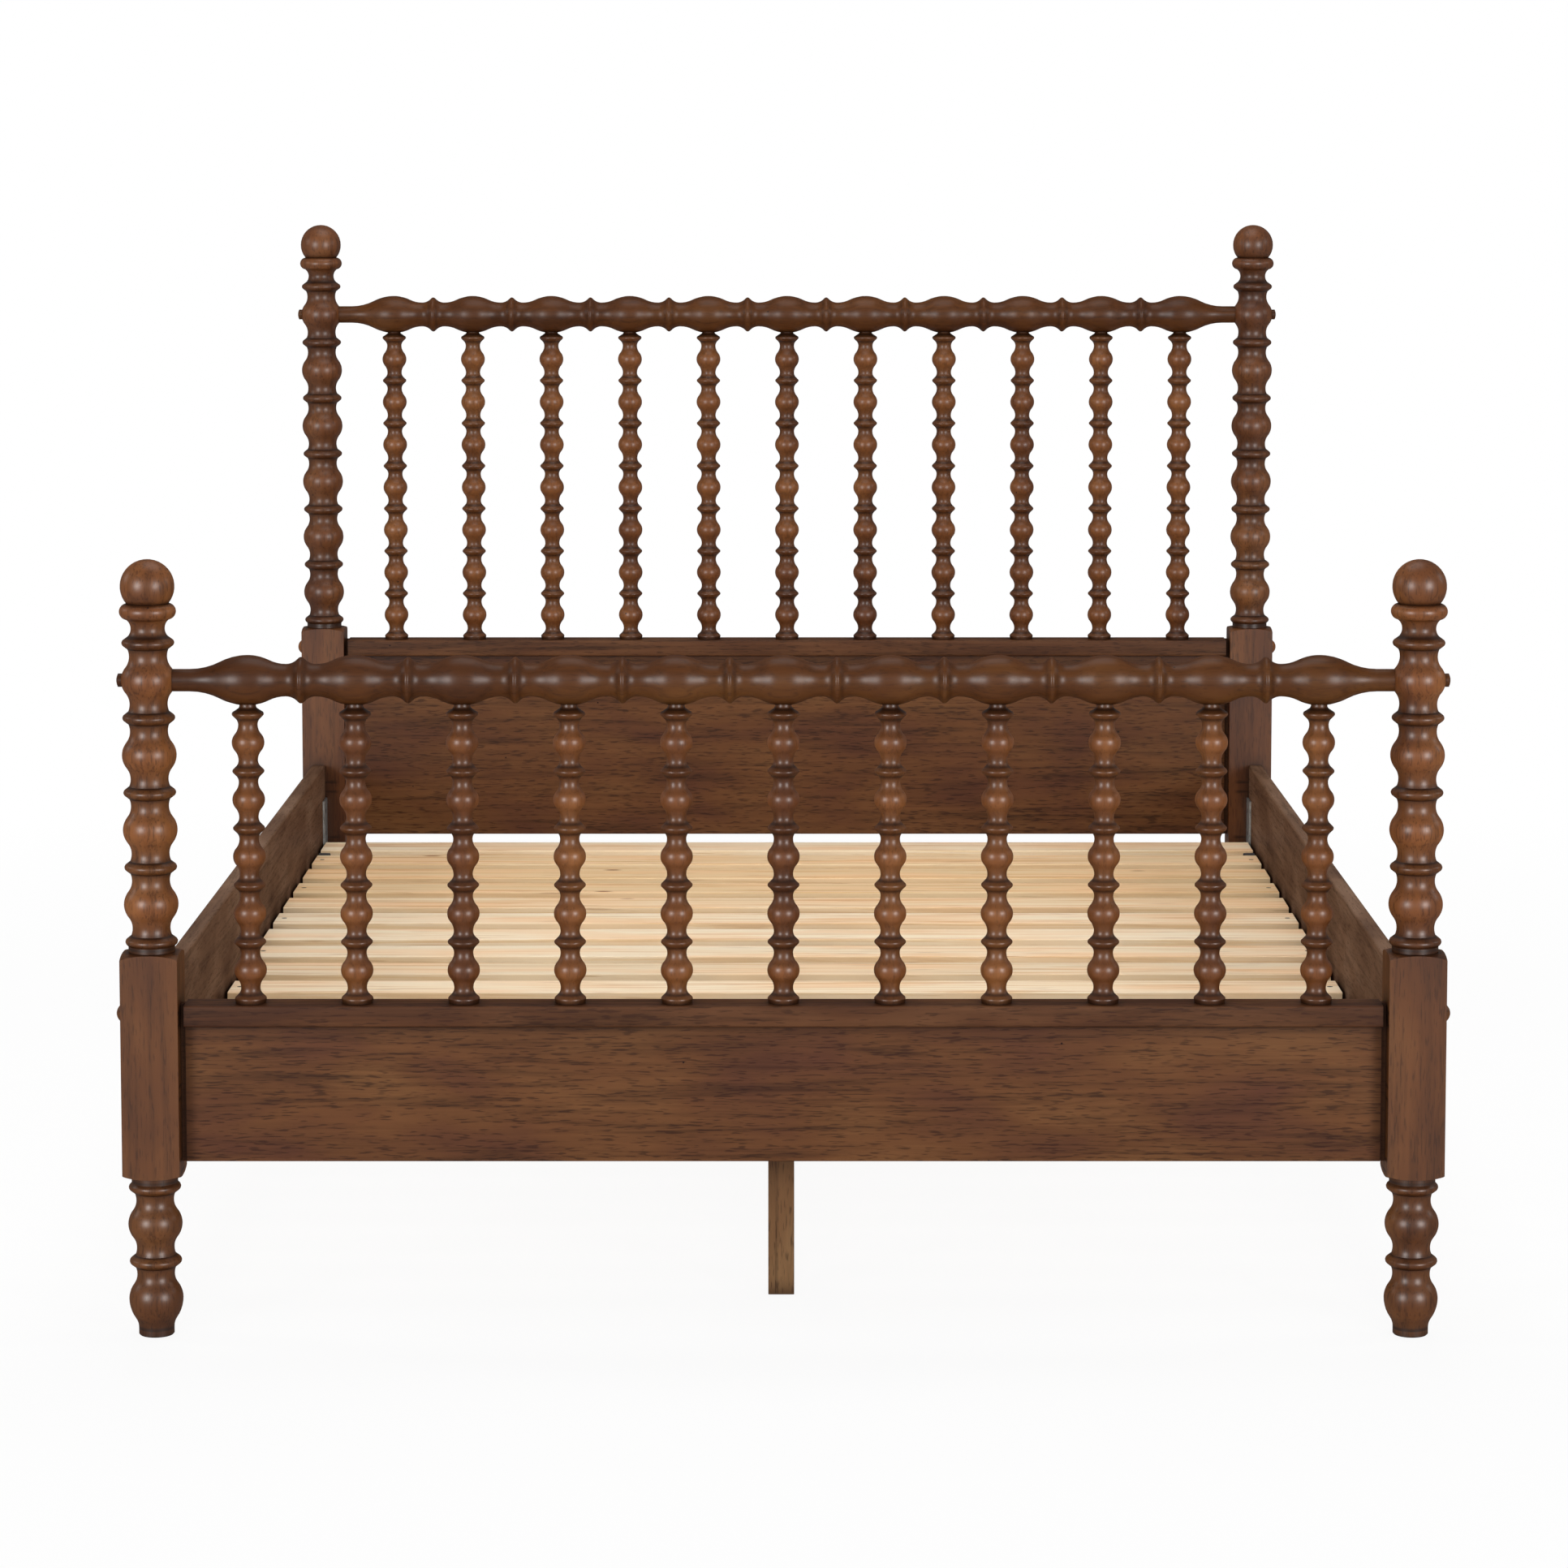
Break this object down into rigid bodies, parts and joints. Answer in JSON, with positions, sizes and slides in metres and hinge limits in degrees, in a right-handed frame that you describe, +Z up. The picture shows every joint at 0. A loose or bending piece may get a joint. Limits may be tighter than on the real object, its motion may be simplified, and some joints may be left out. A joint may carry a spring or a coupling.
{
  "type": "spindle bed",
  "caption": "Four-post bed with ring-and-bead turned posts, spindles and top rails over flat panels, slatted between side rails on a centre beam.",
  "frame": {"origin": "on the floor, at the middle of the bed's length and width", "axes": "+X to the right of someone who stands at the foot and looks at the headboard, +Y from the footboard to the headboard, +Z up"},
  "size_m": [1.633, 2.16, 1.3195],
  "materials": {
    "stained_hardwood": "semi-gloss, worn walnut-brown stain",
    "pale_softwood": "planed, unfinished",
    "frame_wood": "satin, walnut-brown stain",
    "zinc_steel": "zinc plated",
    "dark_steel": "dark phosphate",
    "black_webbing": "woven, matt"
  },
  "bodies": {
    "root": {"headboard_post_left": "stained_hardwood", "headboard_post_right": "stained_hardwood", "headboard_top_rail": "stained_hardwood", "headboard_cap_rail": "stained_hardwood", "headboard_panel": "stained_hardwood", "footboard_post_left": "stained_hardwood", "footboard_post_right": "stained_hardwood", "footboard_top_rail": "stained_hardwood", "footboard_cap_rail": "stained_hardwood", "footboard_panel": "stained_hardwood", "side_rail_left": "stained_hardwood", "side_rail_right": "stained_hardwood", "bolt_buttons": "stained_hardwood", "headboard_spindle_01": "stained_hardwood", "headboard_spindle_02": "stained_hardwood", "headboard_spindle_03": "stained_hardwood", "headboard_spindle_04": "stained_hardwood", "headboard_spindle_05": "stained_hardwood", "headboard_spindle_06": "stained_hardwood", "headboard_spindle_07": "stained_hardwood", "headboard_spindle_08": "stained_hardwood", "headboard_spindle_09": "stained_hardwood", "headboard_spindle_10": "stained_hardwood", "headboard_spindle_11": "stained_hardwood", "footboard_spindle_01": "stained_hardwood", "footboard_spindle_02": "stained_hardwood", "footboard_spindle_03": "stained_hardwood", "footboard_spindle_04": "stained_hardwood", "footboard_spindle_05": "stained_hardwood", "footboard_spindle_06": "stained_hardwood", "footboard_spindle_07": "stained_hardwood", "footboard_spindle_08": "stained_hardwood", "footboard_spindle_09": "stained_hardwood", "footboard_spindle_10": "stained_hardwood", "footboard_spindle_11": "stained_hardwood", "slat_01": "pale_softwood", "slat_02": "pale_softwood", "slat_03": "pale_softwood", "slat_04": "pale_softwood", "slat_05": "pale_softwood", "slat_06": "pale_softwood", "slat_07": "pale_softwood", "slat_08": "pale_softwood", "slat_09": "pale_softwood", "slat_10": "pale_softwood", "slat_11": "pale_softwood", "slat_12": "pale_softwood", "slat_13": "pale_softwood", "slat_14": "pale_softwood", "slat_cleat_left": "frame_wood", "slat_cleat_right": "frame_wood", "centre_beam": "frame_wood", "centre_leg_foot": "frame_wood", "centre_leg_middle": "frame_wood", "centre_leg_head": "frame_wood", "rail_brackets": "zinc_steel", "hook_plates": "zinc_steel", "post_bolts": "zinc_steel", "wood_screws": "dark_steel", "slat_webbing": "black_webbing"}
  },
  "joints": []
}
